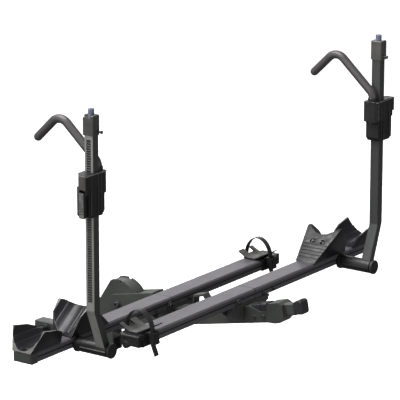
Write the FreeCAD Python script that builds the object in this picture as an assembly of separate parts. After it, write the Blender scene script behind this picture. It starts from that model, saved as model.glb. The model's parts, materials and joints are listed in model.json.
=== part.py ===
import FreeCAD, Part
import math
import os

os.makedirs("parts", exist_ok=True)
V = FreeCAD.Vector

# Frame: origin where the hitch bolt's axis crosses the centreline of the shank.
# +Y points along the shank into the vehicle's receiver, +Z up, X across the vehicle.

# ---------------------------------------------------------------- driving sizes
SHANK = 50.8                 # 2 in square shank
SHANK_WALL = 4.8
SHANK_TAIL = 56.0            # from the hitch bolt to the end that goes in first
SHANK_NOSE = -292.0          # end of the shank under the hub
BOLT_R = 7.94                # 5/8 in hitch bolt
BOLT_TIP = 52.0              # free end past the receiver's far wall, with a groove for a lock
RUN_GAP = 0.06               # radial gap of a running pin
PART_GAP = 0.4               # gap between pieces that pass each other

PIVOT_Y = -317.0             # tilt pivot
PIVOT_Z = 151.0
PIVOT_R = 10.0
HUB_R = 89.0
HUB_PLATE = 5.0
HUB_REAR = 71.6              # distance of the hub's sloping rear edge from the pivot
STOW = 78.4                  # degrees from riding to upright
RISE = 90.0 - STOW           # slope of the spine in the riding position

SPINE_WALL = 3.5
SPINE_H = 60.0
SPINE_TOP = -18.6            # top of the main tube, measured square to the spine from the pivot
ROOT_TOP = 37.0              # top of the deep root box
ROOT_END = 162.0             # front of the deep root box, along the spine
ROOT_START = 100.0
HANDLE_CLEAR = 18.44         # along the spine, from tray B to where the tube begins to get lower
HANDLE_RUN = 68.0            # length of the low end of the tube
HANDLE_H = 38.6              # height of the tube at the handle

TRAY_W = 75.0
TRAY_H = 36.0
TRAY_WALL = 2.4
TRAY_A_Y = -519.0
TRAY_A_UNDER = 186.0         # underside of tray A, clear of the sloping spine
TRAY_PITCH = 291.0           # tray A to tray B
TRAY_A_TOP = TRAY_A_UNDER + TRAY_H
TRAY_STEP = TRAY_PITCH * math.tan(math.radians(RISE)) + 2.8
TRAY_OUT = 768.0             # tray end under the front wheel chock
TRAY_IN = 600.0              # tray end under the rear wheel cradle
CAP_OUT = 36.0
CAP_IN = 18.0

FOOT_X = 562.0               # mast fold axis
FOOT_Z = -0.75 * TRAY_H
FOOT_R = 23.5
AXLE_R = 10.0
MAST_X = 618.0
MAST_Y = -TRAY_W / 2 - 109.5
MAST_BEND = 116.0
MAST_W = 30.0
MAST_D = 35.0
MAST_TOP = 705.0
CAP_H = 66.0
TOOTH = 8.0
STRIP_W = 18.0
STRIP_LOW = 150.0
STRIP_TEETH = 67

CAR_LOW = 437.0              # hook carriage
CAR_MID = 530.0
CAR_INNER = 508.0            # underside of the hook's side of the carriage
HOOK_DROP = {"a": 0.0, "b": 22.0}   # each carriage rests at its own height
REAR_IN = {"a": 25.0, "b": 0.0}      # each cradle rests at its own place along the tray
CAR_TOP = 580.0
LEVER_Z = CAR_MID - 8.0
HOOK_R = 14.3
HOOK_X = MAST_X - MAST_W / 2 - HOOK_R - 2.2
HOOK_WALL = 2.5

STRAP_X = 562.0              # ladder strap
STRAP_W = 22.0
STRAP_T = 3.0
STRAP_TOP = 73.0

CHOCK_HALF = TRAY_W / 2 + 28.5   # half width of a wheel chock at its rim
CHOCK_FOOT = TRAY_W / 2 + 0.5

RISE_SIN = math.sin(math.radians(RISE))
RISE_COS = math.cos(math.radians(RISE))
HUB_IN = SHANK / 2 - 3.3
HUB_OUT = HUB_IN + HUB_PLATE
SPINE_HALF = HUB_OUT + PART_GAP + SPINE_WALL
DOG_HALF = HUB_IN - 4.1
SPINE_BOTTOM = SPINE_TOP - SPINE_H
HANDLE_TOP = SPINE_BOTTOM + HANDLE_H
ROD_T = HANDLE_TOP - 11.0
TRAY_B_Y = TRAY_A_Y - TRAY_PITCH
TRAY_B_TOP = TRAY_A_TOP + TRAY_STEP
HANDLE_STEP = (PIVOT_Y - TRAY_B_Y + TRAY_W / 2) / RISE_COS + HANDLE_CLEAR
SPINE_END = HANDLE_STEP + HANDLE_RUN


# ---------------------------------------------------------------- helpers
def box(x0, x1, y0, y1, z0, z1):
    low = V(min(x0, x1), min(y0, y1), min(z0, z1))
    return Part.makeBox(abs(x1 - x0), abs(y1 - y0), abs(z1 - z0), low)


def cyl(p, d, r, h):
    return Part.makeCylinder(r, h, V(*p), V(*d))


def prism(points, axis, a, b):
    """Straight prism of a polygon; axis X takes (y, z), Y takes (x, z), Z takes (x, y)."""
    if axis == "X":
        pts = [V(a, p[0], p[1]) for p in points]
        run = V(b - a, 0, 0)
    elif axis == "Y":
        pts = [V(p[0], a, p[1]) for p in points]
        run = V(0, b - a, 0)
    else:
        pts = [V(p[0], p[1], a) for p in points]
        run = V(0, 0, b - a)
    return Part.Face(Part.makePolygon(pts + [pts[0]])).extrude(run)


def rounded(shape, radius, pick):
    """Fillet the edges that pick accepts, or leave the shape square if they can't be rounded."""
    edges = [e for e in shape.Edges if pick(e)]
    try:
        done = shape.makeFillet(radius, edges)
    except Exception:
        return shape
    return done if done.isValid() and done.Volume > 0 else shape


def chamfered(shape, size, pick):
    edges = [e for e in shape.Edges if pick(e)]
    try:
        done = shape.makeChamfer(size, edges)
    except Exception:
        return shape
    return done if done.isValid() and done.Volume > 0 else shape


def along(axis):
    """Picks straight edges that run along one axis."""
    def pick(e):
        if len(e.Vertexes) != 2:
            return False
        d = e.Vertexes[1].Point - e.Vertexes[0].Point
        side = V(d.x, d.y, d.z)
        setattr(side, axis, 0.0)
        return side.Length < 1e-6
    return pick


def anyedge(e):
    return e.Length > 0.5


def fuse(*shapes):
    out = shapes[0]
    for s in shapes[1:]:
        out = out.fuse(s)
    return out.removeSplitter()


def group(*shapes):
    return Part.makeCompound([s for part in shapes for s in part.Solids])


def save(name, shape):
    shape.exportStep("parts/" + name + ".step")


def spine_pt(s, t):
    """Point on the spine: s along it from the pivot, t square to it, as (y, z)."""
    y = PIVOT_Y - s * RISE_COS + t * RISE_SIN
    z = PIVOT_Z + s * RISE_SIN + t * RISE_COS
    return (y, z)


def spine_prism(points, x0, x1):
    return prism([spine_pt(s, t) for s, t in points], "X", x0, x1)


def spine_box(x0, x1, s0, s1, t0, t1):
    return spine_prism([(s0, t0), (s1, t0), (s1, t1), (s0, t1)], x0, x1)


def spine_rod(s0, s1, t, r, x=0.0):
    y, z = spine_pt(s0, t)
    return cyl((x, y, z), (0, -RISE_COS, RISE_SIN), r, s1 - s0)


def at_angle(r, deg):
    """Point at radius r from the pivot, deg above the forward horizontal."""
    a = math.radians(deg)
    return (PIVOT_Y - r * math.cos(a), PIVOT_Z + r * math.sin(a))


def hexagon(p, axis, across, depth):
    r = across / math.sqrt(3.0)
    pts = []
    for i in range(6):
        a = math.radians(60.0 * i)
        pts.append((r * math.cos(a), r * math.sin(a)))
    if axis == "X":
        return prism([(p[1] + u, p[2] + w) for u, w in pts], "X", p[0], p[0] + depth)
    if axis == "Y":
        return prism([(p[0] + u, p[2] + w) for u, w in pts], "Y", p[1], p[1] + depth)
    return prism([(p[0] + u, p[1] + w) for u, w in pts], "Z", p[2], p[2] + depth)


def cap_screw(p, d, r, h):
    """Round head with a hexagon socket, standing on p and pointing along d."""
    head = cyl(p, d, r, h)
    head = rounded(head, h * 0.3, lambda e: abs(e.Length - 2 * math.pi * r) < 0.01
                   and (e.CenterOfMass - V(*p)).Length > h * 0.5)
    deep = h * 0.5
    start = V(*p) + V(*d) * (h - deep)
    six = []
    side = V(d[1], d[2], d[0])
    other = V(*d).cross(side)
    for i in range(6):
        a = math.radians(60.0 * i)
        six.append(start + side * (r * 0.5 * math.cos(a)) + other * (r * 0.5 * math.sin(a)))
    socket = Part.Face(Part.makePolygon(six + [six[0]])).extrude(V(*d) * (deep + 1.0))
    return head.cut(socket)


# ---------------------------------------------------------------- hitch mount
half = SHANK / 2
bore = half - SHANK_WALL
shank = box(-half, half, SHANK_NOSE, SHANK_TAIL, -half, half)
shank = rounded(shank, 4.0, along("y"))
shank = shank.cut(box(-bore, bore, SHANK_NOSE - 1, SHANK_TAIL + 1, -bore, bore))
plate_back = -150.0
for side in (-1, 1):
    shank = shank.cut(box(side * HUB_IN, side * 40, SHANK_NOSE - 1, plate_back, -40, 40))
shank = shank.cut(cyl((-40, 0, 0), (1, 0, 0), BOLT_R + 0.6, 80))
save("hitch_shank", shank)

block = box(bore - 18, bore, -18, 18, -bore, bore)
block = block.cut(cyl((0, 0, 0), (1, 0, 0), BOLT_R + RUN_GAP, 40))
save("hitch_thread_block", block)

# Hub side plates: a round sector on a raked leg that is welded to the shank.
line_y = PIVOT_Y + HUB_REAR * 60.0 / 71.6
line_z = PIVOT_Z + HUB_REAR * 39.0 / 71.6


def rear_line(z):
    return line_y - (z - line_z) * 39.0 / 60.0


rear_cut_points = [(rear_line(300.0), 300.0), (rear_line(-100.0), -100.0), (0, -100), (0, 300)]
leg_points = [(rear_line(215.0), 215.0), (rear_line(half), half), (plate_back, half)]
leg_points += [(plate_back, -half), (SHANK_NOSE, -half), (PIVOT_Y + 25, PIVOT_Z - HUB_R + 4)]
leg_points += [(PIVOT_Y, PIVOT_Z)]
notch = at_angle(HUB_R - 3.0, STOW + 1.6)


def hub_plate(x0, x1):
    disc = cyl((x0, PIVOT_Y, PIVOT_Z), (1, 0, 0), HUB_R, x1 - x0)
    disc = disc.cut(prism(rear_cut_points, "X", x0 - 1, x1 + 1))
    plate = disc.fuse(prism(leg_points, "X", x0, x1)).removeSplitter()
    top = [e for e in plate.Edges if along("x")(e) and e.CenterOfMass.z > PIVOT_Z + 55]
    if top:
        plate = rounded(plate, 16.0, lambda e: along("x")(e) and e.CenterOfMass.z > PIVOT_Z + 55)
    plate = plate.cut(cyl((x0 - 1, notch[0], notch[1]), (1, 0, 0), 6.5, HUB_PLATE + 2))
    plate = plate.cut(cyl((x0 - 1, PIVOT_Y, PIVOT_Z), (1, 0, 0), PIVOT_R + RUN_GAP, 20))
    return chamfered(plate, 0.8, lambda e: e.Length > 60 and e.CenterOfMass.z > PIVOT_Z - 60)


save("hub_plates", group(hub_plate(-HUB_OUT, -HUB_IN), hub_plate(HUB_IN, HUB_OUT)))

# Curved rim between the plates, with the lug that the lock dog rests on.
rim_out = HUB_R - 4.0
rim = cyl((-HUB_IN, PIVOT_Y, PIVOT_Z), (1, 0, 0), rim_out, 2 * HUB_IN)
rim = rim.cut(cyl((-HUB_IN - 1, PIVOT_Y, PIVOT_Z), (1, 0, 0), rim_out - 7.0, 2 * HUB_IN + 2))
rim = rim.cut(prism(rear_cut_points, "X", -60, 60))
rim = rim.cut(box(-60, 60, PIVOT_Y - 120, PIVOT_Y + 120, PIVOT_Z - 120, PIVOT_Z - 62))
rim = rim.cut(box(-60, 60, PIVOT_Y + 30, PIVOT_Y + 120, PIVOT_Z - 120, PIVOT_Z + 40))
dog_low = -22.0
lug = spine_box(-DOG_HALF, DOG_HALF, rim_out - 5.0, HUB_R + 10.0, dog_low - 12.0, dog_low - 0.3)
save("hub_rim", fuse(rim, lug))

pivot_x = SPINE_HALF + PART_GAP
bolt = cyl((-pivot_x, PIVOT_Y, PIVOT_Z), (1, 0, 0), PIVOT_R, 2 * pivot_x)
washer = cyl((-pivot_x - 2.5, PIVOT_Y, PIVOT_Z), (1, 0, 0), PIVOT_R + 6, 2.5)
head = cap_screw((-pivot_x - 2.5, PIVOT_Y, PIVOT_Z), (-1, 0, 0), PIVOT_R + 2, 9.0)
washer2 = cyl((pivot_x, PIVOT_Y, PIVOT_Z), (1, 0, 0), PIVOT_R + 6, 2.5)
nut = hexagon((pivot_x + 2.5, PIVOT_Y, PIVOT_Z), "X", PIVOT_R * 2.4, 12.0)
save("pivot_bolt", fuse(bolt, washer, head, washer2, nut))

# Hitch bolt with its hand knob; the washer bears on the receiver's side.
washer_x = -half - 6.6
knob_face = washer_x - 3.4
knob_end = knob_face - 36.0
rod = cyl((knob_face - 14, 0, 0), (1, 0, 0), BOLT_R, BOLT_TIP - knob_face + 14)
rod = chamfered(rod, 1.2, lambda e: e.CenterOfMass.x > BOLT_TIP - 0.1)
groove_ring = cyl((BOLT_TIP - 18.0, 0, 0), (1, 0, 0), 12.0, 4.0)
groove_ring = groove_ring.cut(cyl((BOLT_TIP - 19.0, 0, 0), (1, 0, 0), BOLT_R - 2.2, 6.0))
rod = rod.cut(groove_ring)
save("hitch_bolt", rod)
ring = cyl((washer_x - 3, 0, 0), (1, 0, 0), 17.0, 3.0)
save("hitch_washer", ring.cut(cyl((washer_x - 4, 0, 0), (1, 0, 0), BOLT_R + 0.25, 5)))
knob = cyl((knob_end, 0, 0), (1, 0, 0), 23.0, 36.0)
for i in range(6):
    a = math.radians(60.0 * i + 30.0)
    knob = knob.cut(cyl((knob_end - 1, 27.5 * math.cos(a), 27.5 * math.sin(a)), (1, 0, 0), 9.0, 28))
knob = rounded(knob, 2.0, lambda e: e.CenterOfMass.x < knob_end + 0.1)
knob = knob.cut(cyl((knob_face - 14, 0, 0), (1, 0, 0), BOLT_R, 20))
knob = knob.cut(cyl((knob_end - 1, 0, 0), (1, 0, 0), 11.0 + RUN_GAP, 16))
save("hitch_knob", knob)
core = cyl((knob_end - 2, 0, 0), (1, 0, 0), 11.0, 16.9)
core = rounded(core, 1.5, lambda e: e.CenterOfMass.x < knob_end)
save("hitch_knob_core", core.cut(box(knob_end - 3, knob_end + 8, -1.0, 1.0, -4.5, 4.5)))

# ---------------------------------------------------------------- spine
cheek_back = SPINE_TOP - 16.0
side_points = [(-26, 27), (-14, ROOT_TOP), (ROOT_END, ROOT_TOP), (ROOT_END, SPINE_TOP)]
side_points += [(HANDLE_STEP, SPINE_TOP), (HANDLE_STEP + 40, HANDLE_TOP), (SPINE_END, HANDLE_TOP)]
side_points += [(SPINE_END, SPINE_BOTTOM), (62, SPINE_BOTTOM), (-12, cheek_back), (-36, -8), (-36, 8)]
wall = SPINE_WALL
hollow_points = [(-60, ROOT_TOP + 30), (ROOT_START, ROOT_TOP + 30), (ROOT_START, ROOT_TOP - wall)]
hollow_points += [(ROOT_END - wall, ROOT_TOP - wall), (ROOT_END - wall, SPINE_TOP - wall)]
hollow_points += [(HANDLE_STEP - 1, SPINE_TOP - wall), (HANDLE_STEP + 39, HANDLE_TOP - wall)]
hollow_points += [(SPINE_END + 5, HANDLE_TOP - wall), (SPINE_END + 5, SPINE_BOTTOM + wall)]
hollow_points += [(ROOT_START, SPINE_BOTTOM + wall), (ROOT_START, SPINE_BOTTOM - 30)]
hollow_points += [(-60, SPINE_BOTTOM - 30)]
spine = spine_prism(side_points, -SPINE_HALF, SPINE_HALF)
spine = rounded(spine, 3.0, lambda e: e.Length > 90 and abs(e.CenterOfMass.x) > SPINE_HALF - 0.1)
spine = spine.cut(spine_prism(hollow_points, -SPINE_HALF + wall, SPINE_HALF - wall))
spine = spine.cut(cyl((-60, PIVOT_Y, PIVOT_Z), (1, 0, 0), PIVOT_R + RUN_GAP, 120))
save("spine_tube", spine)
spine_solid = spine_prism(side_points, -SPINE_HALF, SPINE_HALF)

# Lock dog and pull rod: pulled back along the spine by the grip.
dog = spine_box(-DOG_HALF, DOG_HALF, HUB_R + 1.3, HUB_R + 28, dog_low, -8)
dog = chamfered(dog, 1.0, anyedge)
shuttle = spine_box(-11, 11, HUB_R + 15, HUB_R + 28, ROD_T - 7, -12)
save("lock_dog", fuse(dog, shuttle))
GRIP_START = SPINE_END + 101.0
GRIP_END = GRIP_START + 36.0
save("pull_rod", spine_rod(HUB_R + 28, GRIP_START + 14, ROD_T, 5.0))

# Handle casings and grip.
upper_points = [(HANDLE_STEP, SPINE_TOP), (HANDLE_STEP + 16, -15.5), (SPINE_END - 4, -14.5)]
upper_points += [(SPINE_END - 4, HANDLE_TOP), (HANDLE_STEP + 40, HANDLE_TOP)]
upper = spine_prism(upper_points, 5 - SPINE_HALF, SPINE_HALF - 5)
upper = rounded(upper, 6.0, lambda e: e.Length > 20 and abs(e.CenterOfMass.x) > SPINE_HALF - 5.1
                and e.CenterOfMass.z > spine_pt(600, -20)[1])
save("handle_casing_upper", upper)
end_points = [(SPINE_END, -22), (SPINE_END + 8, -14), (SPINE_END + 50, -12), (SPINE_END + 64, -22)]
end_points += [(SPINE_END + 64, -64), (SPINE_END + 46, SPINE_BOTTOM - 2), (SPINE_END + 26, SPINE_BOTTOM - 4)]
end_points += [(SPINE_END, SPINE_BOTTOM)]
casing = spine_prism(end_points, -SPINE_HALF, SPINE_HALF)
casing = rounded(casing, 5.0, lambda e: abs(e.CenterOfMass.x) > SPINE_HALF - 0.1 and e.Length > 14)
neck = spine_box(-15, 15, SPINE_END + 60, GRIP_START - 1.0, -61, -20)
neck = rounded(neck, 6.0, lambda e: e.Length > 30 and abs(e.CenterOfMass.x) > 14.9)
casing = fuse(casing, neck)
casing = casing.cut(spine_rod(SPINE_END - 5, GRIP_START + 5, ROD_T, 5.0 + 0.4))
save("handle_casing_end", casing)
grip_points = [(GRIP_START, -52), (GRIP_START + 12, -57), (GRIP_END - 4, -57), (GRIP_END, -50)]
grip_points += [(GRIP_END, -14), (GRIP_END - 8, -8), (GRIP_START + 14, -10), (GRIP_START, -16)]
grip = spine_prism(grip_points, -22, 22)
grip = rounded(grip, 5.0, lambda e: abs(e.CenterOfMass.x) > 21.9)
save("tilt_grip", grip.cut(spine_rod(GRIP_START - 5, GRIP_START + 14, ROD_T, 5.0)))

bolts = []
for s in (HANDLE_STEP + 14.0, SPINE_END - 16.0):
    y, z = spine_pt(s, HANDLE_TOP - 17.0)
    for side in (-1, 1):
        bolts.append(cap_screw((side * SPINE_HALF, y, z), (side, 0, 0), 6.0, 4.0))
save("handle_bolts", group(*bolts))

# Arched strip that stands on the spine between the trays.
arch_x = 17.0
arch_line = [(302, 0), (314, 0), (322, 36), (366, 38), (384, 0), (398, 0)]
arch_top = [(s, SPINE_TOP + t + 4.0) for s, t in arch_line]
arch_low = [(302, 0), (317, 0), (325.5, 32), (363.5, 34), (380, 0), (398, 0)]
arch_low = [(s, SPINE_TOP + t) for s, t in arch_low]
arch = spine_prism(arch_top + arch_low[::-1], -arch_x, arch_x)
save("spine_arch", rounded(arch, 1.2, lambda e: e.Length > 20))


# ---------------------------------------------------------------- trays
def tray_points(grow=0.0):
    """Half outlines joined: chamfered shoulder, side band, groove and lower band."""
    w = TRAY_W / 2 + grow
    h = TRAY_H + grow
    right = [(w - 5.0, grow), (w, -5.0 + grow), (w, -15.0), (w - 2.0, -17.0), (w - 2.0, -20.0)]
    right += [(w - 1.0, -21.0), (w - 1.0, 1.0 - h), (w - 2.0, -h)]
    return right + [(-y, z) for y, z in right[::-1]]


def tray_tube(x0, x1):
    tube = prism(tray_points(), "X", x0, x1)
    w = TRAY_W / 2 - TRAY_WALL - 2.0
    inner = box(x0 - 1, x1 + 1, -w, w, TRAY_WALL - TRAY_H, -TRAY_WALL)
    inner = rounded(inner, 4.0, along("x"))
    return tube.cut(inner)


def place(shape, tray):
    """Moves a piece made at tray A's centreline and top to its tray; tray B is the mirror image."""
    if tray == "b":
        shape = shape.mirror(V(0, 0, 0), V(1, 0, 0))
        shape.translate(V(0, TRAY_B_Y, TRAY_B_TOP))
        return shape
    out = shape.copy()
    out.translate(V(0, TRAY_A_Y, TRAY_A_TOP))
    return out


SEAM = -38.0
for tray in ("a", "b"):
    outer = tray_tube(-TRAY_OUT, SEAM - 0.3)
    outer = outer.cut(cyl((-FOOT_X, 7.5 - TRAY_W / 2, FOOT_Z), (0, -1, 0), AXLE_R + 0.05, 20))
    save("tray_" + tray + "_outer", place(outer, tray))
    save("tray_" + tray + "_inner", place(tray_tube(SEAM + 0.3, TRAY_IN), tray))

sleeves = []
for tray in ("a", "b"):
    w = TRAY_W / 2 - TRAY_WALL - 2.2
    sleeve = box(SEAM - 110, SEAM + 130, -w, w, TRAY_WALL - TRAY_H + 0.2, -TRAY_WALL - 0.2)
    sleeve = rounded(sleeve, 4.0, along("x"))
    sleeve = sleeve.cut(box(SEAM - 120, SEAM + 140, -w + 4, w - 4, TRAY_WALL - TRAY_H + 4, -TRAY_WALL - 4))
    sleeves.append(place(sleeve, tray))
save("tray_sleeves", group(*sleeves))

tray_bolts = []
EAR_A = -50.0
EAR_B = -63.0
EAR_T = 4.0
BOLT_DROP = 0.74 * TRAY_H
for x in (EAR_A, -131.0, 62.0):
    y = TRAY_A_Y - TRAY_W / 2 - (EAR_T if x == EAR_A else -1.0)
    size = 9.0 if x == EAR_A else 6.0
    tray_bolts.append(cap_screw((x, y, TRAY_A_TOP - BOLT_DROP), (0, -1, 0), size, 5.0))
for x in (EAR_B, 84.0, 145.0):
    y = TRAY_B_Y - TRAY_W / 2 - (EAR_T if x == EAR_B else -1.0)
    tray_bolts.append(cap_screw((x, y, TRAY_B_TOP - BOLT_DROP), (0, -1, 0), 6.5, 5.0))
save("tray_bolts", group(*tray_bolts))


def saddle(y, top, ear_x):
    """Bracket between the sloping spine and a level tray, with wings, gussets and one ear."""
    under = top - TRAY_H
    w = TRAY_W / 2
    foot = [(y + w, under), (y - w, under), (y - w, under - 60), (y + w, under - 60)]
    core_block = prism(foot, "X", -SPINE_HALF, SPINE_HALF)
    wing = box(-97, 116, y - w, y + w, under - 4, under)
    body = core_block.fuse(wing)
    lines = [(-97, under), (116, under), (116, under - 19), (SPINE_HALF + 2, under - 44)]
    lines += [(-SPINE_HALF - 2, under - 56), (-97, under - 8)]
    for y0 in (y - w, y + w - 4):
        body = body.fuse(prism(lines, "Y", y0, y0 + 4))
    ear = box(ear_x - 15, ear_x + 15, y - w - EAR_T, y - w, under - 4, top - BOLT_DROP)
    ear = ear.fuse(cyl((ear_x, y - w - EAR_T, top - BOLT_DROP), (0, 1, 0), 15, EAR_T))
    skirt = box(ear_x - 15, 116, y - w - EAR_T, y - w, under - 8, under)
    body = fuse(body, ear, skirt)
    return body.cut(spine_solid)


tray_solid_a = place(prism(tray_points(), "X", -TRAY_OUT, TRAY_IN), "a")
tray_solid_b = place(prism(tray_points(), "X", -TRAY_OUT, TRAY_IN), "b")
for name, y, top, ear_x, tray_solid in (
    ("saddle_a", TRAY_A_Y, TRAY_A_TOP, EAR_A, tray_solid_a),
    ("saddle_b", TRAY_B_Y, TRAY_B_TOP, EAR_B, tray_solid_b),
):
    shape = saddle(y, top, ear_x).cut(tray_solid)
    solids = sorted(shape.Solids, key=lambda q: q.Volume)
    save(name, solids[-1])

outer_caps = []
inner_caps = []
for tray in ("a", "b"):
    cap = box(-TRAY_OUT - CAP_OUT, -TRAY_OUT, -CHOCK_FOOT, CHOCK_FOOT, -TRAY_H - 2.0, -1.0)
    cap = rounded(cap, 9.0, lambda e: e.CenterOfMass.x < -TRAY_OUT - CAP_OUT + 0.1
                  and e.CenterOfMass.z < -5 and e.Length > 10)
    outer_caps.append(place(cap, tray))
    x0 = TRAY_IN
    cap = box(x0, x0 + CAP_IN, 0.5 - TRAY_W / 2, TRAY_W / 2 - 0.5, -TRAY_H - 1.0, 0.5)
    cap = chamfered(cap, 3.0, lambda e: e.CenterOfMass.x > x0 + CAP_IN - 0.1)
    cap = cap.cut(box(x0 + CAP_IN - 5, x0 + CAP_IN + 1, -26, 26, -13.0, -9.5))
    lobe = cyl((x0 + 2, 16, 2 - TRAY_H), (1, 0, 0), 13.0, CAP_IN)
    lobe = rounded(lobe, 4.0, lambda e: e.CenterOfMass.x > x0 + CAP_IN)
    inner_caps.append(place(fuse(cap, lobe), tray))
save("tray_outer_caps", group(*outer_caps))
save("tray_inner_caps", group(*inner_caps))


# ---------------------------------------------------------------- front wheel chocks
def flare(x0, x1, z0, z1, foot_half, top_half):
    """Block whose sides lean out from the tray's width to the rim's width."""
    pts = [(-foot_half, z0), (foot_half, z0), (top_half, z1), (-top_half, z1)]
    return prism(pts, "X", x0, x1)


def trough_points(low, rim, floor, half_floor, half_rim):
    """Wheel trough: flat floor, then sides that steepen toward the rim."""
    mid_y = half_floor + (half_rim - half_floor) * 0.62
    mid_z = floor + (rim - floor) * 0.42
    right = [(half_floor, floor), (mid_y, mid_z), (half_rim, rim), (half_rim + 4, rim + 40)]
    return right + [(-y, z) for y, z in right[::-1]]


OUT_END = -TRAY_OUT - CAP_OUT - 2.0
END_LEAN = 40.0               # the end face leans in by this much at the rim
OUT_IN = -662.0


def outer_scoop():
    rim = 70.0
    side = [(OUT_END, 0), (OUT_END + END_LEAN, rim), (OUT_IN - 2, 44), (OUT_IN, 38), (OUT_IN + 16, 0)]
    block_all = prism(side, "Y", -90, 90)
    block_all = block_all.common(flare(OUT_END - 5, OUT_IN + 20, 0, rim + 1, CHOCK_FOOT, CHOCK_HALF + 1))
    skin = prism(trough_points(0, rim, 0.0, 17.0, CHOCK_HALF + 4), "X", OUT_END - 5, OUT_IN + 20)
    end_wall = prism([(OUT_END - 1, -1), (OUT_END + 4, -1), (OUT_END + END_LEAN + 5, rim + 2),
                      (OUT_END + END_LEAN - 1, rim + 2)], "Y", -90, 90)
    base = box(OUT_END, OUT_IN + 20, -90, 90, 0, 4)
    shell = block_all.common(fuse(skin, end_wall, base))
    cut = prism(trough_points(0, rim, 4.0, 13.0, CHOCK_HALF - 4), "X", OUT_END - 20, OUT_IN + 40)
    return shell.cut(cut)


def inner_scoop():
    side = [(-392, 0), (-513, 96), (-527, 100), (-569, 68), (-596, 0)]
    wedge = prism(side, "Y", -90, 90)
    wedge = wedge.common(flare(-600, -380, 0, 101, CHOCK_FOOT, CHOCK_HALF + 2))
    run = V(118, 0, 84)
    start = V(-622, 0, -16)

    def channel(shift, half_floor, half_rim, rim):
        right = [(half_floor, 0), (half_rim * 0.62, rim * 0.4), (half_rim, rim), (half_rim + 3, rim + 90)]
        pts = right + [(-y, z) for y, z in right[::-1]]
        normal = V(-run.z, 0, run.x).normalize()
        ring = [start + V(0, y, 0) + normal * (z + shift) for y, z in pts]
        return Part.Face(Part.makePolygon(ring + [ring[0]])).extrude(run * 1.6)

    skin = channel(-5.0, 16.0, CHOCK_HALF + 1, 46.0)
    back = prism([(-392, 0), (-513, 96), (-520, 98), (-400, 0)], "Y", -90, 90)
    base = box(-600, -380, -90, 90, 0, 4)
    webs = box(-600, -380, -CHOCK_FOOT + 2, -CHOCK_FOOT + 6, 0, 101)
    webs = webs.fuse(box(-600, -380, CHOCK_FOOT - 6, CHOCK_FOOT - 2, 0, 101))
    shell = wedge.common(fuse(skin, back, base, webs))
    shell = shell.cut(channel(0.0, 12.0, CHOCK_HALF - 4, 44.0))
    for i in range(5):
        gx = -404.0 - 11.0 * i
        gz = (-392.0 - gx) * 96.0 / 121.0
        shell = shell.cut(cyl((gx, -90, gz + 0.6), (0, 1, 0), 1.6, 180))
    return shell


chock_bolts = []
for tray in ("a", "b"):
    save("outer_scoop_" + tray, place(outer_scoop(), tray))
    scoop = inner_scoop()
    n = V(-96, 0, -121).normalize() * -1.0
    for y in (-14.0, 16.0):
        spot = V(-468, y, 60.3)
        scoop = scoop.cut(Part.makeCylinder(5.0, 30.0, spot - n * 2.2, n))
        chock_bolts.append(place(Part.makeCylinder(4.8, 3.0, spot - n * 2.2, n), tray))
    solids = sorted(scoop.Solids, key=lambda q: q.Volume)
    save("inner_scoop_" + tray, place(solids[-1], tray))
save("chock_bolts", group(*chock_bolts))

# ---------------------------------------------------------------- masts
STUB_END = -TRAY_W / 2 - 24.5
BARREL_END = MAST_Y - 21.0
stubs = []
axles = []
for tray in ("a", "b"):
    stub = cyl((-FOOT_X, -TRAY_W / 2, FOOT_Z), (0, -1, 0), FOOT_R, -STUB_END - TRAY_W / 2)
    collar = cyl((-FOOT_X, -TRAY_W / 2, FOOT_Z), (0, -1, 0), FOOT_R + 2.5, 9.0)
    stub = fuse(stub, collar)
    stub = stub.cut(cyl((-FOOT_X, 0, FOOT_Z), (0, -1, 0), AXLE_R + 0.05, 200))
    stubs.append(place(stub, tray))
    axle = cyl((-FOOT_X, 6.5 - TRAY_W / 2, FOOT_Z), (0, -1, 0), AXLE_R, -BARREL_END - 15 + 6.5 - TRAY_W / 2)
    axles.append(place(axle, tray))
save("foot_stubs", group(*stubs))
save("foot_axles", group(*axles))

leg = V(-MAST_X + FOOT_X, 0, MAST_BEND - FOOT_Z)
leg_n = V(-leg.z, 0, leg.x).normalize() * (MAST_W / 2)
out_n = V(-MAST_W / 2, 0, 0)
turn = math.atan2(MAST_X - FOOT_X, MAST_BEND - FOOT_Z)
miter = (MAST_W / 2) * math.tan(turn / 2)


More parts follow.
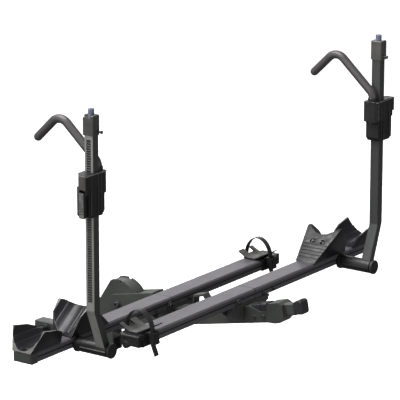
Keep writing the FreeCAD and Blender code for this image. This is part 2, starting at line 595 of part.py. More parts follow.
def mast_piece():
    hw = MAST_W / 2
    foot_l = (-FOOT_X + leg_n.x, FOOT_Z + leg_n.z)
    foot_r = (-FOOT_X - leg_n.x, FOOT_Z - leg_n.z)
    pts = [foot_l, (-MAST_X - hw, MAST_BEND + miter * 1.0), (-MAST_X - hw, MAST_TOP)]
    pts += [(-MAST_X + hw, MAST_TOP), (-MAST_X + hw, MAST_BEND - miter), foot_r]
    y0 = MAST_Y - MAST_D / 2
    bar = prism(pts, "Y", y0, y0 + MAST_D)
    bar = rounded(bar, 22.0, lambda e: along("y")(e) and 60 < e.CenterOfMass.z < 200)
    bar = rounded(bar, 3.0, lambda e: e.CenterOfMass.z > -20 and e.CenterOfMass.z < 600
                  and not along("y")(e))
    barrel = cyl((-FOOT_X, STUB_END - PART_GAP, FOOT_Z), (0, -1, 0), FOOT_R, -BARREL_END + STUB_END - PART_GAP)
    barrel = chamfered(barrel, 1.0, lambda e: e.CenterOfMass.y > STUB_END - 2)
    bar = fuse(bar, barrel)
    bar = bar.cut(cyl((-FOOT_X, 0, FOOT_Z), (0, -1, 0), AXLE_R + RUN_GAP, -BARREL_END - 8))
    bar = bar.cut(cyl((-FOOT_X, BARREL_END + 12, FOOT_Z), (0, -1, 0), 15.0, 20))
    bar = bar.cut(box(-MAST_X - hw + 5.5, -MAST_X + hw - 4, y0 + 4, y0 + MAST_D - 4, MAST_BEND + 20, MAST_TOP + 1))
    low = STRIP_LOW
    high = STRIP_LOW + STRIP_TEETH * TOOTH
    groove = box(-MAST_X - hw - 1, -MAST_X - hw + 4, MAST_Y - STRIP_W / 2, MAST_Y + STRIP_W / 2, low, high)
    return bar.cut(groove)


def strip_piece():
    face = -MAST_X - MAST_W / 2
    pts = [(face + 4.0, STRIP_LOW), (face + 4.0, STRIP_LOW + STRIP_TEETH * TOOTH)]
    for i in range(STRIP_TEETH):
        top = STRIP_LOW + (STRIP_TEETH - i) * TOOTH
        pts += [(face + 3.0, top), (face + 0.2, top - 2.0), (face + 0.2, top - 4.6), (face + 3.0, top - 5.0)]
    pts += [(face + 3.0, STRIP_LOW)]
    return prism(pts, "Y", MAST_Y - STRIP_W / 2, MAST_Y + STRIP_W / 2)


def cap_piece():
    low = MAST_TOP - 6.0
    side = MAST_W / 2 + 4
    front = MAST_D / 2 + 4
    inner = MAST_X - HOOK_X - HOOK_R - PART_GAP      # thin wall, so that the hook arm slides past it
    cap = box(-MAST_X - side, -MAST_X + inner, MAST_Y - front, MAST_Y + front, low, low + CAP_H)
    cap = rounded(cap, 4.0, along("z"))
    cap = chamfered(cap, 2.5, lambda e: e.CenterOfMass.z > low + CAP_H - 0.1)
    hw = MAST_W / 2
    y0 = MAST_Y - MAST_D / 2
    cap = cap.cut(box(-MAST_X - hw, -MAST_X + hw, y0, y0 + MAST_D, low - 1, MAST_TOP))
    step = box(-MAST_X - side - 1, -MAST_X - 8, MAST_Y - 12, MAST_Y + front + 1, low + CAP_H - 9, low + CAP_H + 1)
    cap = cap.cut(step)
    cap = cap.cut(cyl((-MAST_X, MAST_Y, low + 34), (0, 0, 1), 10.0 + RUN_GAP, 60))
    cap = cap.cut(cyl((-MAST_X + 5, MAST_Y - 12, low + 12), (0, -1, 0), 3.0, 20))
    return cap


for tray in ("a", "b"):
    save("mast_" + tray, place(mast_piece(), tray))
    save("mast_strip_" + tray, place(strip_piece(), tray))
    save("mast_cap_" + tray, place(cap_piece(), tray))
    low = MAST_TOP - 6.0
    pin = cyl((-MAST_X + 5, MAST_Y - MAST_D / 2, low + 12), (0, -1, 0), 3.0, 20)
    pin = pin.fuse(cyl((-MAST_X + 5, MAST_Y - MAST_D / 2 - 17, low + 12), (0, -1, 0), 5.5, 5)).removeSplitter()
    save("cap_pin_" + tray, place(pin, tray))
    core = cyl((-MAST_X, MAST_Y, low + 35), (0, 0, 1), 10.0, 51.0)
    core = rounded(core, 1.5, lambda e: e.CenterOfMass.z > low + 85)
    core = core.cut(box(-MAST_X - 5, -MAST_X + 5, MAST_Y - 1.2, MAST_Y + 1.2, low + 78, low + 90))
    save("cap_core_" + tray, place(core, tray))
    button = cyl((-FOOT_X, BARREL_END - 4.6, FOOT_Z), (0, -1, 0), 25.0, 9.0)
    button = rounded(button, 2.0, lambda e: e.CenterOfMass.y < BARREL_END - 13)
    for i in range(24):
        a = math.radians(15.0 * i)
        p = (-FOOT_X + 25.6 * math.cos(a), BARREL_END - 3, FOOT_Z + 25.6 * math.sin(a))
        button = button.cut(cyl(p, (0, -1, 0), 1.4, 14))
    stem = cyl((-FOOT_X, BARREL_END + 4, FOOT_Z), (0, -1, 0), 15.0 - RUN_GAP, 10)
    save("mast_button_" + tray, place(fuse(button, stem), tray))


# ---------------------------------------------------------------- hook carriages
IN_SIDE = MAST_X - MAST_W / 2 - 19.0      # inner wall of the carriage's narrow part
OUT_SIDE = MAST_X + MAST_W / 2 + 31.0    # outer wall, behind the lever
SOCKET_R = HOOK_R + 2.6
LEVER_X = OUT_SIDE + 8.0
CAR_OUT = OUT_SIDE + 22.0


def carriage_piece():
    y_in = MAST_Y + MAST_D / 2 + 9.0
    y_out = MAST_Y - MAST_D / 2 - 9.0
    low_pts = [(-OUT_SIDE, CAR_MID), (-OUT_SIDE, CAR_LOW + 6), (-OUT_SIDE + 6, CAR_LOW)]
    low_pts += [(-IN_SIDE - 12, CAR_LOW), (-IN_SIDE, CAR_LOW + 14), (-IN_SIDE, CAR_MID)]
    lower = prism(low_pts, "Y", y_out + 2, y_in - 2)
    lower = rounded(lower, 3.0, lambda e: e.Length > 40 and e.CenterOfMass.z < CAR_MID - 1)
    edge = HOOK_X - SOCKET_R
    plan = [(-CAR_OUT, y_out), (-CAR_OUT, y_out + 28), (-OUT_SIDE + 10, y_in), (-edge, y_in)]
    plan += [(-edge, y_out + 8), (-edge - 8, y_out)]
    upper_z = CAR_MID + 4
    upper_part = prism(plan, "Z", upper_z, CAR_TOP)
    upper_part = rounded(upper_part, 3.0, lambda e: along("z")(e) or e.CenterOfMass.z > CAR_TOP - 0.1)
    inner = [(-MAST_X, y_in), (-edge, y_in), (-edge, y_out + 8), (-edge - 8, y_out), (-MAST_X, y_out)]
    inner_part = prism(inner, "Z", CAR_INNER, upper_z + 1)
    inner_part = rounded(inner_part, 3.0, lambda e: along("z")(e) and e.CenterOfMass.x > -edge - 9)
    slope = [(-IN_SIDE - 4, CAR_INNER - 16), (-IN_SIDE - 4, CAR_INNER + 2), (-edge - 4, CAR_INNER + 2)]
    under = prism(slope, "Y", y_out + 6, y_in - 4)
    socket = cyl((-HOOK_X, MAST_Y, CAR_INNER - 6), (0, 0, 1), SOCKET_R, CAR_TOP + 12 - CAR_INNER + 6)
    socket = rounded(socket, 3.0, lambda e: e.CenterOfMass.z > CAR_TOP)
    middle = box(-OUT_SIDE, -IN_SIDE, y_out + 2, y_in - 2, CAR_MID - 2, upper_z + 2)
    body = fuse(lower, middle, upper_part, inner_part, under, socket)
    for y in (MAST_Y - 24.0, MAST_Y + 4.0):
        ear = box(-LEVER_X - 6, -OUT_SIDE + 4, y, y + 6, LEVER_Z - 7, upper_z + 2)
        body = body.fuse(ear)
    gap = PART_GAP
    channel = box(-MAST_X - MAST_W / 2 - gap, -MAST_X + MAST_W / 2 + gap,
                  MAST_Y - MAST_D / 2 - gap, MAST_Y + MAST_D / 2 + gap, CAR_LOW - 5, CAR_TOP + 20)
    body = body.cut(channel)
    body = body.cut(cyl((-HOOK_X, MAST_Y, CAR_INNER), (0, 0, 1), HOOK_R, 200))
    body = body.cut(cyl((-LEVER_X, MAST_Y - 26, LEVER_Z), (0, 1, 0), 2.5 + RUN_GAP, 38))
    window = box(-OUT_SIDE - 6, -MAST_X - 10, MAST_Y - 9.6, MAST_Y + 3.6, CAR_LOW + 4, CAR_LOW + 32)
    body = body.cut(window)
    return body.removeSplitter()


def lever_piece():
    z0 = CAR_LOW + 2
    z1 = LEVER_Z + 2
    blade = box(-OUT_SIDE - 20, -OUT_SIDE - 0.6, MAST_Y - 17.6, MAST_Y + 3.6, z0, z1)
    blade = rounded(blade, 3.0, lambda e: e.CenterOfMass.x < -OUT_SIDE - 19.9 or e.CenterOfMass.z < z0 + 0.1)
    for i in range(8):
        z = z0 + 14 + 5.6 * i
        blade = blade.cut(cyl((-OUT_SIDE - 21.2, MAST_Y - 20, z), (0, 1, 0), 2.0, 40))
    pin = cyl((-LEVER_X, MAST_Y - 24, LEVER_Z), (0, 1, 0), 2.5, 34)
    pawl_x = MAST_X + MAST_W / 2 + 0.3
    pawl_box = box(-OUT_SIDE - 2, -pawl_x, MAST_Y - 8.6, MAST_Y + 2.6, CAR_LOW + 17, CAR_LOW + 25)
    return fuse(blade, pin, pawl_box)


def hook_piece():
    def pt(y, z):
        return V(-HOOK_X, y, z)

    start = pt(MAST_Y, CAR_INNER)
    rise = pt(MAST_Y, 604)
    apex = pt(3, 740)
    tip = pt(93, 653)
    corners = [start, rise, apex, tip]
    radii = [0, 34.0, 42.0, 0]
    edges = []
    last = start
    for i in (1, 2):
        a = (corners[i - 1] - corners[i]).normalize()
        b = (corners[i + 1] - corners[i]).normalize()
        ang = a.getAngle(b)
        back = radii[i] / math.tan(ang / 2)
        p0 = corners[i] + a * back
        p1 = corners[i] + b * back
        mid_dir = (a + b).normalize()
        mid = corners[i] + mid_dir * (radii[i] / math.sin(ang / 2) - radii[i])
        edges.append(Part.makeLine(last, p0))
        edges.append(Part.Arc(p0, mid, p1).toShape())
        last = p1
    edges.append(Part.makeLine(last, tip))
    wire = Part.Wire(edges)

    def swept(r):
        ring = Part.Wire([Part.makeCircle(r, start, V(0, 0, 1))])
        return wire.makePipeShell([ring], True, True)

    tube = swept(HOOK_R).fuse(Part.makeSphere(HOOK_R, tip)).removeSplitter()
    return tube.cut(swept(HOOK_R - HOOK_WALL))


for tray in ("a", "b"):
    drop = V(0, 0, -HOOK_DROP[tray])
    for name, shape in (("carriage_", carriage_piece()), ("release_lever_", lever_piece()),
                        ("hook_arm_", hook_piece())):
        shape.translate(drop)
        save(name + tray, place(shape, tray))


# ---------------------------------------------------------------- rear wheel cradles
CLAMP_Y = TRAY_W / 2 + 5.5
STRAP_Y = CLAMP_Y + 10.5


def cradle_piece():
    x0 = STRAP_X - 50
    x1 = TRAY_IN - 1.0
    clamp = box(STRAP_X - 30, x1, -CLAMP_Y, CLAMP_Y, -TRAY_H - 3.5, 4)
    clamp = chamfered(clamp, 4.0, along("x"))
    tip = CLAMP_Y + 11
    wing = [(-tip, 27), (-15, 7), (15, 7), (tip, 27), (tip, 22.5), (17, 2), (-17, 2), (-tip, 22.5)]
    wings = prism(wing, "X", x0, x1)
    for side in (-1, 1):
        y0, y1 = side * (CLAMP_Y - 13), side * (CLAMP_Y + 17)
        wings = wings.cut(box(STRAP_X - 17, STRAP_X + 17, y0, y1, 0, 40))
    wings = rounded(wings, 1.2, lambda e: abs(e.CenterOfMass.y) > CLAMP_Y + 7)
    body = fuse(clamp, wings, box(STRAP_X - 40, x1, -20, 20, PART_GAP, 6))
    body = body.cut(prism(tray_points(PART_GAP), "X", x0 - 20, x1 + 20))
    lug = box(STRAP_X - 15, STRAP_X + 15, CLAMP_Y, STRAP_Y - STRAP_T, -24, 0)
    return fuse(body, lug)


def strap_piece():
    x0 = STRAP_X - STRAP_W / 2
    rad = STRAP_Y
    flat = Part.Ellipse(V(x0, 0, STRAP_TOP), V(x0, rad, 0), V(x0, 0, 0))
    big = Part.Face(Part.Wire([flat.toShape()])).extrude(V(STRAP_W, 0, 0))
    flat = Part.Ellipse(V(x0, 0, STRAP_TOP - STRAP_T), V(x0, rad - STRAP_T, 0), V(x0, 0, 0))
    small = Part.Face(Part.Wire([flat.toShape()])).extrude(V(STRAP_W, 0, 0))
    loop = big.cut(small).common(box(x0 - 1, x0 + STRAP_W + 10, -rad - 10, rad + 10, 0, STRAP_TOP + 10))
    far = box(x0, x0 + STRAP_W, rad - STRAP_T, rad, -18, 0)
    near = prism([(-rad, 0), (-rad + STRAP_T, 0), (-rad + STRAP_T, -34), (-rad - 12, -72),
                  (-rad - 15, -71), (-rad, -33)], "X", x0, x0 + STRAP_W)
    return fuse(loop, far, near)


def buckle_piece():
    rad = STRAP_Y
    gap = 0.3
    half_w = STRAP_W / 2 + gap
    body = box(STRAP_X - half_w - 5, STRAP_X + half_w + 5, -rad - 14, -CLAMP_Y, -30, 8)
    body = chamfered(body, 3.0, lambda e: e.CenterOfMass.y < -rad - 13.9)
    body = body.cut(box(STRAP_X - half_w, STRAP_X + half_w, -rad - 20, -rad + STRAP_T + 0.9, -40, 20))
    pin_a = cyl((STRAP_X - half_w - 5, -rad - 8, 0), (1, 0, 0), 2.5, 2 * half_w + 10)
    return fuse(body, pin_a)


def buckle_lever_piece():
    rad = STRAP_Y
    half_w = STRAP_W / 2 - 0.2
    top = [(-rad - 0.6, -4), (-rad - 2.5, 4), (-rad - 13, 6), (-rad - 15, -4), (-rad - 19, -30)]
    top += [(-rad - 15, -33), (-rad - 10, -14)]
    body = prism(top, "X", STRAP_X - half_w, STRAP_X + half_w)
    body = rounded(body, 1.0, lambda e: e.CenterOfMass.y < -rad - 13 and along("x")(e))
    return body.cut(cyl((STRAP_X - STRAP_W, -rad - 8, 0), (1, 0, 0), 2.5 + RUN_GAP, 2 * STRAP_W))


for tray in ("a", "b"):
    inward = V(-REAR_IN[tray], 0, 0)
    for name, shape in (("cradle_", cradle_piece()), ("wheel_strap_", strap_piece()),
                        ("buckle_", buckle_piece()), ("buckle_lever_", buckle_lever_piece())):
        shape.translate(inward)
        save(name + tray, place(shape, tray))
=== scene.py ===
import json
import math

import bmesh
import bpy
from mathutils import Matrix, Vector


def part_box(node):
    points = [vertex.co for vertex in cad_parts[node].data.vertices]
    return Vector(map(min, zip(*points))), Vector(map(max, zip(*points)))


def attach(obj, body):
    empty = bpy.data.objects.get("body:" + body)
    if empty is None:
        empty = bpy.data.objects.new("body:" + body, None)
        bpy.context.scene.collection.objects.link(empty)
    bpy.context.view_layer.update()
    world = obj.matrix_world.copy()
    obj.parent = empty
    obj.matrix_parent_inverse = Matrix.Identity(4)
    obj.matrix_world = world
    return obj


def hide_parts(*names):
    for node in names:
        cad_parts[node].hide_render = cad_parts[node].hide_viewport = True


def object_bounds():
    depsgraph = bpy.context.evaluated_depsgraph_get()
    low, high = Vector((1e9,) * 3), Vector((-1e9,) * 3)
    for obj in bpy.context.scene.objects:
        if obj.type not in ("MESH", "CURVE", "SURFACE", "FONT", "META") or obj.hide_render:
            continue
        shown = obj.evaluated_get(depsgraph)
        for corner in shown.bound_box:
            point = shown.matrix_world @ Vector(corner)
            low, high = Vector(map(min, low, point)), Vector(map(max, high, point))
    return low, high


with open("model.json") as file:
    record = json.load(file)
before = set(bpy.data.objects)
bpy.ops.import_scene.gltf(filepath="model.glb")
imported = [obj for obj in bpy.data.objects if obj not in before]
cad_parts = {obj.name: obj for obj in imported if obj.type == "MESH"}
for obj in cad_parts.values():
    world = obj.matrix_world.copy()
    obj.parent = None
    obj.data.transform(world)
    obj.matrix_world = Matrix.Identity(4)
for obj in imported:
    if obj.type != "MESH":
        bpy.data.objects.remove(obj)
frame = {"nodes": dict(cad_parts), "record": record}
CAD_BOX = [list(corner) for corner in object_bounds()]

bl_info = {
    "name": "Hitch bike rack",
    "version": (1, 0, 0),
    "blender": (4, 5, 0),
    "location": "3D View > Sidebar > Bike rack",
    "description": "Builds the looks of a two bike hitch rack around its frame",
    "category": "Object",
}

# ------------------------------------------------------------------ places taken from the frame
TRAY_A_LOW, TRAY_A_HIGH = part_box("tray_a_outer")
TRAY_B_LOW, TRAY_B_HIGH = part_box("tray_b_outer")
PLACES = {
    "a": (Vector((0, (TRAY_A_LOW.y + TRAY_A_HIGH.y) / 2, TRAY_A_HIGH.z)), 1),
    "b": (Vector((0, (TRAY_B_LOW.y + TRAY_B_HIGH.y) / 2, TRAY_B_HIGH.z)), -1),
}
MM = 0.001
MAST_FOOT_X = 0.562          # axis of the barrel at a mast's foot
MAST_FOOT_DROP = 0.027       # that axis below the tray's top
BARREL_REACH = 0.0242
COLLAR_RISE = 0.012          # collar around a hook arm, above the carriage's flat top
OUTER_BLOCK_X = 0.676        # where a carriage's paler outer block starts


def body_of(node):
    """Body that a node of the frame rides on."""
    for name, members in frame["record"]["behaviour"]["bodies"].items():
        if node in members:
            return name
    raise RuntimeError("no body holds " + node)


# ------------------------------------------------------------------ sizes and colours a user may change
class RackFinish(bpy.types.PropertyGroup):
    frame_tone: bpy.props.FloatVectorProperty(
        name="Frame coat", description="Powder coat of the spine, hub and handle",
        subtype="COLOR", size=3, min=0, max=1, default=(0.060, 0.064, 0.059))
    tray_tone: bpy.props.FloatVectorProperty(
        name="Tray coat", description="Satin coat of the wheel trays",
        subtype="COLOR", size=3, min=0, max=1, default=(0.128, 0.122, 0.134))
    mast_tone: bpy.props.FloatVectorProperty(
        name="Mast coat", description="Satin coat of the masts",
        subtype="COLOR", size=3, min=0, max=1, default=(0.070, 0.071, 0.072))
    rail_tone: bpy.props.FloatVectorProperty(
        name="Mast rail", description="Paler outer rail that the toothed strip sits in",
        subtype="COLOR", size=3, min=0, max=1, default=(0.40, 0.40, 0.385))
    moulding_tone: bpy.props.FloatVectorProperty(
        name="Black moulding", description="Filled nylon of carriages, caps and cradles",
        subtype="COLOR", size=3, min=0, max=1, default=(0.012, 0.012, 0.0135))
    chock_tone: bpy.props.FloatVectorProperty(
        name="Chock moulding", description="Glossy moulding of the wheel chocks",
        subtype="COLOR", size=3, min=0, max=1, default=(0.015, 0.015, 0.0175))
    rubber_tone: bpy.props.FloatVectorProperty(
        name="Hook rubber", description="Soft sleeve of the hook arms",
        subtype="COLOR", size=3, min=0, max=1, default=(0.021, 0.021, 0.0235))
    key_tone: bpy.props.FloatVectorProperty(
        name="Key cores", description="Grey blue plastic of the key cores",
        subtype="COLOR", size=3, min=0, max=1, default=(0.17, 0.19, 0.27))


class RackSizes(bpy.types.PropertyGroup):
    edge: bpy.props.FloatProperty(
        name="Edge rounding", description="Radius that softens the edges of metal pieces",
        subtype="DISTANCE", unit="LENGTH", min=0.0001, max=0.003, default=0.0009)
    peel: bpy.props.FloatProperty(
        name="Coat texture", description="Depth of the orange peel in the powder coat",
        subtype="DISTANCE", unit="LENGTH", min=0, max=0.0005, default=0.00008)
    light: bpy.props.FloatProperty(
        name="Studio light", description="Strength of the overhead soft box",
        subtype="POWER", unit="POWER", min=1, max=2000, default=340.0)


# ------------------------------------------------------------------ finishes
def finish_nodes(name):
    """A finish by name, with its node tree and shader when it is new."""
    mat = bpy.data.materials.get(name)
    if mat:
        return mat, None, None
    mat = bpy.data.materials.new(name)
    mat.use_nodes = True
    tree = mat.node_tree
    shader = tree.nodes["Principled BSDF"]
    return mat, tree, shader


def textured(name, tone, rough, scale=(1, 1, 1), fleck=900.0, fleck_amount=0.18, cloud=14.0,
             cloud_amount=0.25, bump=0.00008, bump_scale=700.0, rough_spread=0.12, metal=0.0,
             coat=0.0, coat_rough=0.2, specular=0.5, scuff=0.0, scuff_tone=(0.2, 0.2, 0.2)):
    """Procedural finish: cloudy tone, fine flecks, uneven gloss, bump and light scuffs."""
    mat, tree, shader = finish_nodes(name)
    if tree is None:
        return mat
    new, link = tree.nodes.new, tree.links.new
    shader.inputs["Metallic"].default_value = metal
    shader.inputs["Specular IOR Level"].default_value = specular
    shader.inputs["Coat Weight"].default_value = coat
    shader.inputs["Coat Roughness"].default_value = coat_rough
    where = new("ShaderNodeTexCoord")
    turn = new("ShaderNodeMapping")
    turn.inputs["Scale"].default_value = scale
    link(where.outputs["Object"], turn.inputs["Vector"])

    def noise(size, detail=3.0, rough_n=0.55):
        node = new("ShaderNodeTexNoise")
        node.inputs["Scale"].default_value = size
        node.inputs["Detail"].default_value = detail
        node.inputs["Roughness"].default_value = rough_n
        link(turn.outputs["Vector"], node.inputs["Vector"])
        return node

    def spread(source, low, high):
        node = new("ShaderNodeMapRange")
        node.inputs["From Min"].default_value = 0.3
        node.inputs["From Max"].default_value = 0.7
        node.inputs["To Min"].default_value = low
        node.inputs["To Max"].default_value = high
        link(source, node.inputs["Value"])
        return node.outputs["Result"]

    clouds = noise(cloud, 4.0)
    flecks = noise(fleck, 2.0, 0.7)
    amount = new("ShaderNodeMath")
    amount.operation = "MULTIPLY"
    link(spread(clouds.outputs["Fac"], 1 - cloud_amount, 1 + cloud_amount), amount.inputs[0])
    link(spread(flecks.outputs["Fac"], 1 - fleck_amount, 1 + fleck_amount), amount.inputs[1])
    tint = new("ShaderNodeVectorMath")
    tint.operation = "SCALE"
    tint.inputs[0].default_value = tone
    link(amount.outputs[0], tint.inputs["Scale"])
    colour = tint.outputs["Vector"]
    if scuff:
        marks = noise(38.0, 8.0, 0.75)
        step = new("ShaderNodeMapRange")
        step.inputs["From Min"].default_value = 0.62
        step.inputs["From Max"].default_value = 0.74
        step.inputs["To Max"].default_value = scuff
        link(marks.outputs["Fac"], step.inputs["Value"])
        mix = new("ShaderNodeMix")
        mix.data_type = "RGBA"
        mix.inputs["B"].default_value = (*scuff_tone, 1)
        link(step.outputs["Result"], mix.inputs["Factor"])
        link(colour, mix.inputs["A"])
        colour = mix.outputs["Result"]
    link(colour, shader.inputs["Base Color"])
    gloss = noise(60.0, 5.0)
    link(spread(gloss.outputs["Fac"], rough - rough_spread, rough + rough_spread), shader.inputs["Roughness"])
    grain = noise(bump_scale, 3.0)
    raise_up = new("ShaderNodeBump")
    raise_up.inputs["Strength"].default_value = 0.6
    raise_up.inputs["Distance"].default_value = bump
    link(grain.outputs["Fac"], raise_up.inputs["Height"])
    link(raise_up.outputs["Normal"], shader.inputs["Normal"])
    return mat


def frame_coat():
    look = bpy.context.scene.rack_finish
    return textured("frame_coat", look.frame_tone, 0.42, cloud=9.0, bump=bpy.context.scene.rack_sizes.peel,
                    scuff=0.25, scuff_tone=(0.10, 0.10, 0.095), coat=0.15, coat_rough=0.35)


def tray_coat():
    look = bpy.context.scene.rack_finish
    return textured("tray_coat", look.tray_tone, 0.42, scale=(0.3, 1, 1), cloud=12.0, cloud_amount=0.04,
                    fleck=1400.0, fleck_amount=0.10, bump=0.00003, bump_scale=1500.0, metal=0.3, rough_spread=0.04,
                    scuff=0.15, scuff_tone=(0.16, 0.155, 0.16))


def mast_coat():
    look = bpy.context.scene.rack_finish
    return textured("mast_coat", look.mast_tone, 0.38, scale=(1, 1, 0.06), cloud=30.0, cloud_amount=0.14,
                    fleck=1400.0, fleck_amount=0.10, bump=0.00003, bump_scale=1500.0, metal=0.3, rough_spread=0.06,
                    scuff=0.15, scuff_tone=(0.13, 0.13, 0.13))


def rail_coat():
    look = bpy.context.scene.rack_finish
    return textured("rail_coat", look.rail_tone, 0.36, scale=(1, 1, 0.05), cloud=30.0, cloud_amount=0.10,
                    fleck=1600.0, fleck_amount=0.12, bump=0.00003, bump_scale=1500.0, metal=0.5)


def black_moulding():
    look = bpy.context.scene.rack_finish
    return textured("black_moulding", look.moulding_tone, 0.44, cloud=20.0, fleck=1100.0, fleck_amount=0.25,
                    bump=0.00012, bump_scale=900.0, scuff=0.3, scuff_tone=(0.05, 0.05, 0.05))


def grey_moulding():
    return textured("grey_moulding", (0.075, 0.073, 0.070), 0.42, cloud=20.0, fleck=1100.0, fleck_amount=0.2,
                    bump=0.0001, bump_scale=900.0, scuff=0.2, scuff_tone=(0.11, 0.11, 0.11))


def grip_moulding():
    return textured("grip_moulding", (0.030, 0.030, 0.034), 0.30, cloud=16.0, fleck=1000.0, fleck_amount=0.15,
                    bump=0.00004, bump_scale=700.0, coat=0.1, coat_rough=0.2)


# Pale grey finish; on the carriage rims it stands for a painted highlight.
def bright_edge():
    return textured("bright_edge", (0.19, 0.185, 0.18), 0.36, cloud=26.0, fleck=1200.0, fleck_amount=0.2,
                    bump=0.00006, bump_scale=900.0)


def chock_moulding():
    look = bpy.context.scene.rack_finish
    return textured("chock_moulding", look.chock_tone, 0.36, cloud=10.0, fleck=900.0, fleck_amount=0.12,
                    bump=0.00002, bump_scale=300.0, coat=0.04, coat_rough=0.2, rough_spread=0.05, specular=0.32,
                    scuff=0.2, scuff_tone=(0.06, 0.06, 0.065))


def chock_back():
    return textured("chock_back", (0.024, 0.0235, 0.025), 0.5, cloud=12.0, fleck=900.0, fleck_amount=0.18,
                    bump=0.00006, bump_scale=600.0)


# Pale finish that paints a highlight on the chocks' up-facing faces and outer end faces.
def chock_painted_highlight():
    return textured("chock_painted_highlight", (0.16, 0.156, 0.15), 0.40, cloud=12.0, fleck=900.0, fleck_amount=0.18,
                    bump=0.00008, bump_scale=600.0)


def hook_rubber():
    look = bpy.context.scene.rack_finish
    return textured("hook_rubber", look.rubber_tone, 0.34, cloud=22.0, fleck=1300.0, fleck_amount=0.25,
                    bump=0.00006, bump_scale=1200.0, specular=0.45, scuff=0.12, scuff_tone=(0.05, 0.05, 0.052))


def strap_rubber():
    return textured("strap_rubber", (0.030, 0.030, 0.031), 0.40, cloud=30.0, fleck=1500.0, fleck_amount=0.2,
                    bump=0.0001, bump_scale=1500.0, scuff=0.25, scuff_tone=(0.06, 0.06, 0.06))


def dark_bolt():
    return textured("dark_bolt", (0.075, 0.075, 0.08), 0.17, cloud=60.0, fleck=2000.0, metal=0.8,
                    bump=0.00004, bump_scale=2000.0, rough_spread=0.1)


def bright_steel():
    return textured("bright_steel", (0.45, 0.45, 0.46), 0.28, cloud=70.0, fleck=2500.0, metal=1.0,
                    bump=0.00003, bump_scale=2500.0, rough_spread=0.1, cloud_amount=0.15)


def key_plastic():
    look = bpy.context.scene.rack_finish
    return textured("key_plastic", look.key_tone, 0.35, cloud=60.0, fleck=2000.0, fleck_amount=0.1,
                    bump=0.00005, bump_scale=1500.0)


def toothed_black():
    return textured("toothed_black", (0.014, 0.014, 0.014), 0.42, cloud=50.0, fleck=1500.0,
                    bump=0.00008, bump_scale=1500.0)


def tooth_grey():
    return textured("tooth_grey", (0.15, 0.15, 0.145), 0.42, cloud=50.0, fleck=1500.0,
                    bump=0.00004, bump_scale=1500.0)


# ------------------------------------------------------------------ making pieces
def settle(bm, name, materials, body, smooth=35.0, nodes=(), weighted=True):
    """Turns a bmesh in metres into a finished piece that rides on a body of the frame."""
    bmesh.ops.remove_doubles(bm, verts=bm.verts, dist=1e-6)
    bmesh.ops.recalc_face_normals(bm, faces=bm.faces)
    mesh = bpy.data.meshes.new(name)
    bm.to_mesh(mesh)
    bm.free()
    mesh.shade_smooth()
    mesh.set_sharp_from_angle(angle=math.radians(smooth))
    piece = bpy.data.objects.new(name, mesh)
    bpy.context.scene.collection.objects.link(piece)
    for mat in materials:
        mesh.materials.append(mat)
    if weighted:
        flatten = piece.modifiers.new("flat faces", "WEIGHTED_NORMAL")
        flatten.keep_sharp = True
        flatten.weight = 60
    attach(piece, body)
    if nodes:
        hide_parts(*nodes)
    return piece


def copy_mesh(node):
    """A merged copy of a frame node, with its flat faces joined."""
    bm = bmesh.new()
    bm.from_mesh(frame["nodes"][node].data)
    bmesh.ops.remove_doubles(bm, verts=bm.verts, dist=2e-6)
    bmesh.ops.dissolve_degenerate(bm, dist=1e-6, edges=bm.edges)
    bmesh.ops.dissolve_limit(bm, angle_limit=math.radians(0.6), verts=bm.verts, edges=bm.edges)
    return bm


def soften(bm, width, segments=2, angle=28.0, limit=None):
    """Rounds the sharp edges of a bmesh."""
    picked = []
    for edge in bm.edges:
        if len(edge.link_faces) == 2 and edge.calc_face_angle(0) > math.radians(angle):
            if limit is None or limit(edge):
                picked.append(edge)
    if picked:
        bmesh.ops.bevel(bm, geom=picked, offset=width, offset_type="OFFSET", affect="EDGES",
                        segments=segments, profile=0.5, material=-1, clamp_overlap=True)


def coat_node(node, material, width=None, segments=2, angle=28.0, limit=None, paint=None, others=()):
    """Stands a softened copy of a frame node in its place; paint(face) picks one of the finishes."""
    bm = copy_mesh(node)
    if width is None:
        width = bpy.context.scene.rack_sizes.edge
    if width:
        soften(bm, width, segments, angle, limit)
    if paint:
        bm.normal_update()
        for face in bm.faces:
            face.material_index = paint(face)
    return settle(bm, node + "_look", [material, *others], body_of(node), nodes=[node])


def keep_node(node, material):
    """Leaves a frame node as it is and gives it a finish."""
    mesh = frame["nodes"][node].data
    mesh.materials.clear()
    mesh.materials.append(material)


def to_tray(bm, tray):
    """Moves a bmesh made in millimetres at a tray's centre and top to that tray."""
    place, side = PLACES[tray]
    bmesh.ops.scale(bm, vec=Vector((MM * side, MM, MM)), verts=bm.verts)
    bmesh.ops.translate(bm, vec=place, verts=bm.verts)
    if side < 0:
        bmesh.ops.reverse_faces(bm, faces=bm.faces)


def block(bm, x0, x1, y0, y1, z0, z1):
    """Square block between two corners."""
    made = bmesh.ops.create_cube(bm, size=1.0)["verts"]
    bmesh.ops.scale(bm, vec=Vector((x1 - x0, y1 - y0, z1 - z0)), verts=made)
    bmesh.ops.translate(bm, vec=Vector(((x0 + x1) / 2, (y0 + y1) / 2, (z0 + z1) / 2)), verts=made)
    return made


def drum(bm, centre, axis, radius, depth, around=32, top=None):
    """Round drum whose middle is centre."""
    made = bmesh.ops.create_cone(bm, cap_ends=True, segments=around, radius1=radius,
                                 radius2=radius if top is None else top, depth=depth)["verts"]
    turn = Vector((0, 0, 1)).rotation_difference(Vector(axis)).to_matrix()
    bmesh.ops.rotate(bm, matrix=turn, verts=made)
    bmesh.ops.translate(bm, vec=Vector(centre), verts=made)
    return made


def loose_object(bm, name):
    """Stands a bmesh in the scene for a moment, so that a modifier can work on it."""
    mesh = bpy.data.meshes.new(name)
    bmesh.ops.recalc_face_normals(bm, faces=bm.faces)
    bm.to_mesh(mesh)
    bm.free()
    made = bpy.data.objects.new(name, mesh)
    bpy.context.scene.collection.objects.link(made)
    return made


